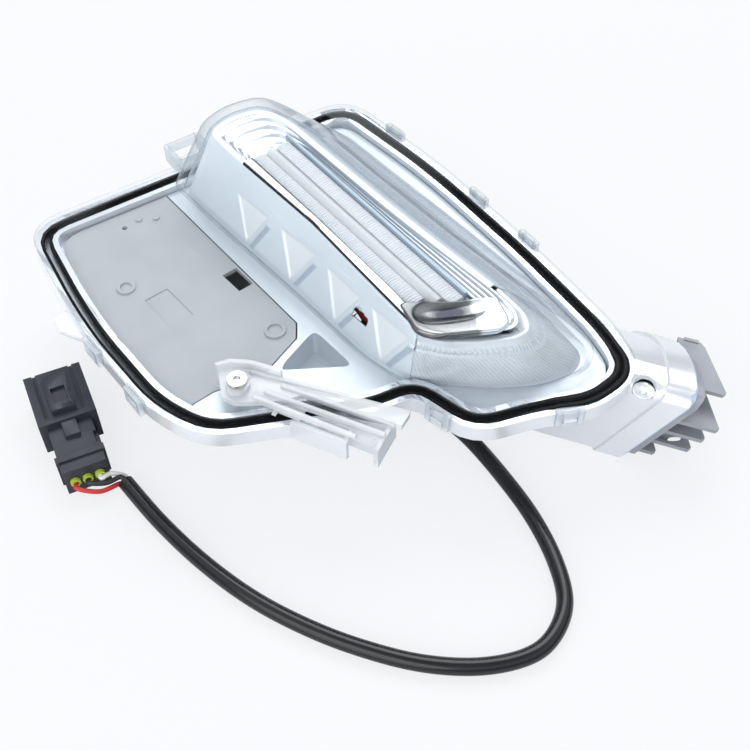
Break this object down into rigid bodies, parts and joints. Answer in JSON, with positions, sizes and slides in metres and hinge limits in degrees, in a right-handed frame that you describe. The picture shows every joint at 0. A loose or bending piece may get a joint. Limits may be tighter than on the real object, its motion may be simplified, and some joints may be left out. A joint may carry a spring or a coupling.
{
  "type": "daytime running light",
  "caption": "Car daytime running light lying lens up: clear raised window over a fluted light guide, silver rear housing, finned heat sink, clear ribbed bracket, black cable and connector.",
  "frame": {"origin": "centre of the box of the lamp without its free cable, at the rest plane under the neck", "axes": "+X along the window from its thin left end to the heat sink, +Y from the deck's bracket side to the window side, +Z square to the lens deck and out of the lens"},
  "size_m": [0.2783, 0.232, 0.0862],
  "materials": {
    "clear_lens": "clear polished polycarbonate",
    "clear_plastic": "clear moulded plastic with bright edges",
    "silver_housing": "silver-white metallised plastic",
    "black_sealant": "glossy black butyl sealant",
    "metallised_bezel": "bright metallised plastic",
    "fluted_clear": "clear fluted optic plastic",
    "grey_plate": "matte light grey",
    "green_board": "green circuit board",
    "dark_chips": "dark moulded components",
    "plated_trim": "mirror-bright plated plastic",
    "white_tray": "bright reflector",
    "clear_guide": "clear light guide bar",
    "white_board": "white coated circuit board",
    "led_yellow": "yellow phosphor",
    "cast_aluminium": "matte cast aluminium",
    "blue_gasket": "pale blue gasket",
    "steel_screws": "zinc-plated steel",
    "black_rubber": "black rubber",
    "red_wire": "red wire insulation",
    "black_wire": "black wire insulation",
    "black_sheath": "glossy black cable sheath",
    "white_wire": "white wire insulation",
    "green_seals": "yellow-green silicone seals",
    "black_connector": "black moulded connector",
    "dark_lock": "dark grey moulded lock",
    "brass_terminals": "plated brass"
  },
  "bodies": {
    "root": {"outer_lens": "clear_lens", "front_bracket": "clear_plastic", "rear_housing": "silver_housing", "seal_bead": "black_sealant", "inner_bezel": "metallised_bezel", "deck_surround": "metallised_bezel", "fan_lens": "fluted_clear", "cover_plate": "grey_plate", "driver_board": "green_board", "board_chips": "dark_chips", "chrome_trim": "plated_trim", "optic_tray": "white_tray", "flute_front": "fluted_clear", "flute_back": "fluted_clear", "light_guide": "clear_guide", "led_board": "white_board", "leds": "led_yellow", "heat_sink": "cast_aluminium", "sink_gasket": "blue_gasket", "sink_screws": "steel_screws", "bracket_screw": "steel_screws", "vent_cap": "black_rubber", "cable_grommet": "black_rubber", "harness_red": "red_wire", "harness_black": "black_wire", "cable_sheath": "black_sheath", "wire_white": "white_wire", "wire_black": "black_wire", "wire_red": "red_wire", "wire_seals": "green_seals", "connector_body": "black_connector", "connector_lock": "dark_lock", "terminals": "brass_terminals"}
  },
  "joints": []
}
